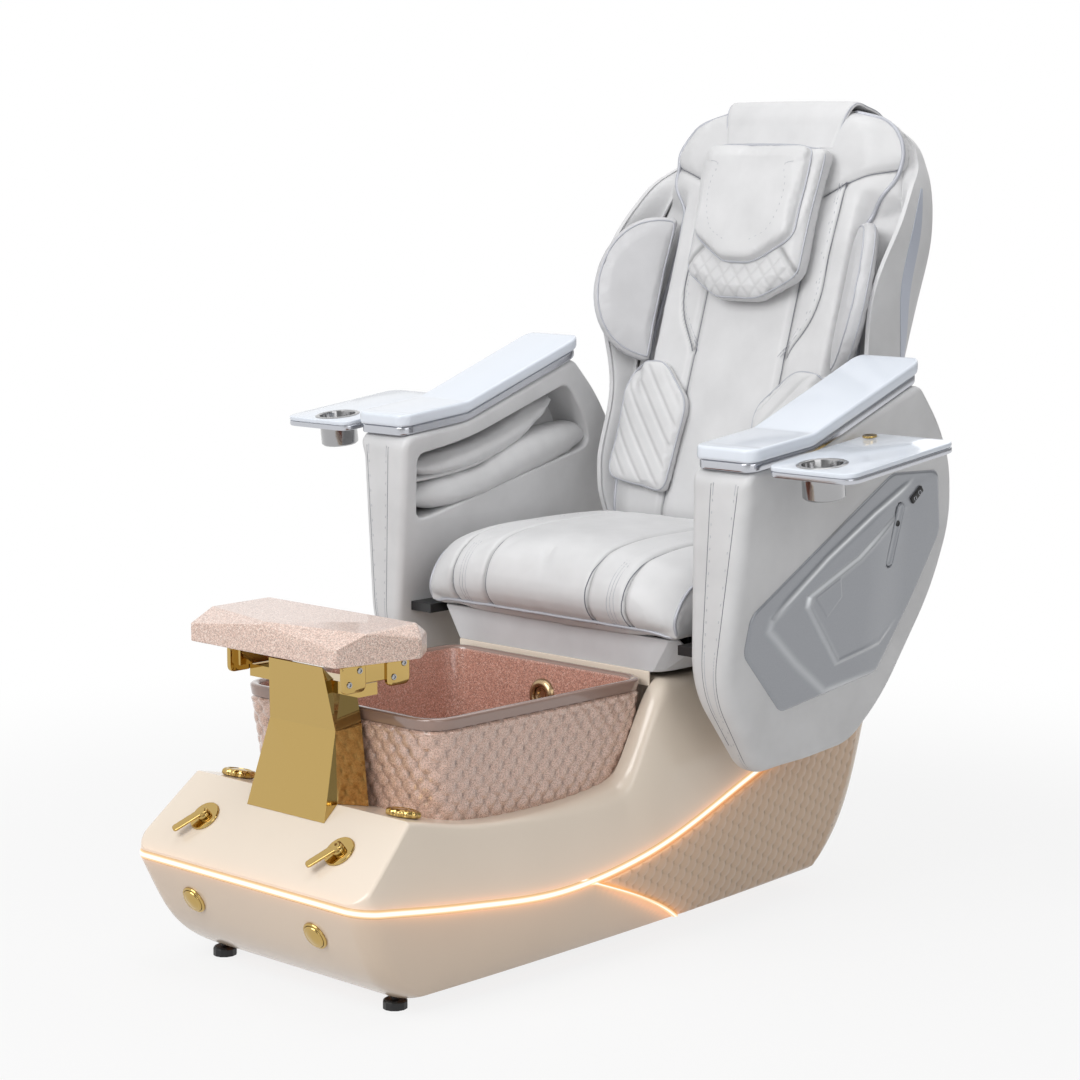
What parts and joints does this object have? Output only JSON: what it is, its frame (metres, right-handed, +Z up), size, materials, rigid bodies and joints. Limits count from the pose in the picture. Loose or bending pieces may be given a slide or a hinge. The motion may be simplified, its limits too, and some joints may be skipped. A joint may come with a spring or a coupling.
{
  "type": "pedicure chair",
  "caption": "Pedicure spa chair: hull-shaped base with foot basin, footrest and taps under a sliding, reclining massage seat with padded arms and swivel trays.",
  "frame": {"origin": "on the floor under the middle of the chair's overall box", "axes": "+Z up, the chair faces -Y, the sitter's left is +X"},
  "size_m": [1.204, 1.3202, 1.2738],
  "materials": {
    "cream_gelcoat": "glossy cream gelcoat",
    "scale_resin": "satin beige resin with a fish-scale relief",
    "lit_acrylic": "translucent white light diffuser",
    "rose_glass": "glossy translucent rose resin with glitter",
    "rose_resin": "glossy pink-beige resin with glitter",
    "polished_gold": "mirror-polished gold plating",
    "steel": "brushed",
    "bronze": "satin bronze",
    "black_steel": "satin black paint",
    "grey_leather": "light grey leatherette with a fine grain",
    "white_acrylic": "high-gloss white",
    "silver_trim": "satin silver",
    "silver_panel": "silver-grey metallic paint",
    "black_plastic": "matt black",
    "grey_plastic": "light grey"
  },
  "bodies": {
    "base": {"base_upper_shell": "cream_gelcoat", "base_lower_hull": "cream_gelcoat", "scale_panel_left": "scale_resin", "scale_panel_right": "scale_resin", "light_strip": "lit_acrylic", "basin": "rose_glass", "jet_pump": "bronze", "drain_strainer": "steel", "pedestal": "polished_gold", "tap_plate_left": "polished_gold", "tap_plate_right": "polished_gold", "foot_front_left": "black_plastic", "foot_front_right": "black_plastic", "foot_rear_left": "black_plastic", "foot_rear_right": "black_plastic", "base_frame": "black_steel", "slide_track": "black_steel"},
    "footrest": {"footrest_pad": "rose_resin", "footrest_rail_left": "polished_gold", "footrest_rail_right": "polished_gold"},
    "tap_left": {"tap_lever_left": "polished_gold"},
    "tap_right": {"tap_lever_right": "polished_gold"},
    "button_left": {"push_button_left": "polished_gold"},
    "button_right": {"push_button_right": "polished_gold"},
    "knob_left": {"deck_knob_left": "polished_gold"},
    "knob_right": {"deck_knob_right": "polished_gold"},
    "chair": {"seat_frame": "black_steel", "seat_cushion": "grey_leather", "seat_apron": "grey_leather", "arm_left": "grey_leather", "arm_right": "grey_leather", "arm_pad_left": "white_acrylic", "arm_pad_right": "white_acrylic", "arm_band_left": "silver_trim", "arm_band_right": "silver_trim", "air_bag_upper_left": "grey_leather", "air_bag_upper_right": "grey_leather", "air_bag_lower_left": "grey_leather", "air_bag_lower_right": "grey_leather", "side_panel_left": "silver_panel", "side_panel_right": "silver_panel", "socket_plate": "black_plastic", "tray_pivot_left": "silver_trim", "tray_pivot_right": "silver_trim"},
    "tray_left": {"tray_board_left": "white_acrylic", "cup_holder_left": "steel"},
    "tray_right": {"tray_board_right": "white_acrylic", "cup_holder_right": "steel"},
    "hook": {"bag_hook": "silver_trim"},
    "back": {"back_shell": "grey_plastic", "back_cushion": "grey_leather", "shoulder_pad_left": "grey_leather", "shoulder_pad_right": "grey_leather", "lumbar_pad_left": "grey_leather", "lumbar_pad_right": "grey_leather", "headrest_flap": "grey_leather", "back_frame": "black_steel"},
    "headrest": {"headrest_pillow": "grey_leather"},
    "carriage": {"massage_carriage": "grey_plastic"},
    "rollers": {"massage_rollers": "black_plastic"}
  },
  "joints": [
    {"name": "footrest_slide", "type": "slide", "parent": "base", "child": "footrest", "axis": [0, -1, 0], "range_m": [-0.03, 0.04]},
    {"name": "tap_turn_left", "type": "hinge", "parent": "base", "child": "tap_left", "pos_m": [0.147, -0.60206, 0.23135], "axis": [0, -0.6686, 0.7436], "range_deg": [-75, 75]},
    {"name": "tap_turn_right", "type": "hinge", "parent": "base", "child": "tap_right", "pos_m": [-0.147, -0.60206, 0.23135], "axis": [0, -0.6686, 0.7436], "range_deg": [-75, 75]},
    {"name": "button_press_left", "type": "slide", "parent": "base", "child": "button_left", "axis": [0, 0.9062, 0.4228], "range_m": [0, 0.004], "stiffness_N_per_m": 800},
    {"name": "button_press_right", "type": "slide", "parent": "base", "child": "button_right", "axis": [0, 0.9062, 0.4228], "range_m": [0, 0.004], "stiffness_N_per_m": 800},
    {"name": "knob_turn_left", "type": "hinge", "parent": "base", "child": "knob_left", "pos_m": [0.179, -0.51106, 0.27073], "axis": [0, 0.2126, 0.9771], "range_deg": [-135, 135]},
    {"name": "knob_turn_right", "type": "hinge", "parent": "base", "child": "knob_right", "pos_m": [-0.179, -0.51106, 0.27073], "axis": [0, 0.2126, 0.9771], "range_deg": [-135, 135]},
    {"name": "chair_slide", "type": "slide", "parent": "base", "child": "chair", "axis": [0, 1, 0], "range_m": [0, 0.1]},
    {"name": "tray_swivel_left", "type": "hinge", "parent": "chair", "child": "tray_left", "pos_m": [0.464, 0.18175, 0.75985], "axis": [0, -0.1132, 0.9936], "range_deg": [0, 90]},
    {"name": "tray_swivel_right", "type": "hinge", "parent": "chair", "child": "tray_right", "pos_m": [-0.464, 0.18175, 0.75985], "axis": [0, 0.1132, -0.9936], "range_deg": [0, 90]},
    {"name": "hook_flip", "type": "hinge", "parent": "chair", "child": "hook", "pos_m": [0.40546, 0.31005, 0.56059], "axis": [-0.0207, 0.9818, -0.1886], "range_deg": [0, 80]},
    {"name": "back_recline", "type": "hinge", "parent": "chair", "child": "back", "pos_m": [0, 0.39394, 0.5], "axis": [-1, 0, 0], "range_deg": [0, 25]},
    {"name": "headrest_flip", "type": "hinge", "parent": "back", "child": "headrest", "pos_m": [0, 0.53238, 1.19913], "axis": [-1, 0, 0], "range_deg": [0, 80]},
    {"name": "massage_travel", "type": "slide", "parent": "back", "child": "carriage", "axis": [0, 0.3007, 0.9537], "range_m": [0, 0.36]},
    {"name": "roller_spin", "type": "hinge", "parent": "carriage", "child": "rollers", "pos_m": [0, 0.44806, 0.67167], "axis": [1, 0, 0], "continuous": true}
  ]
}
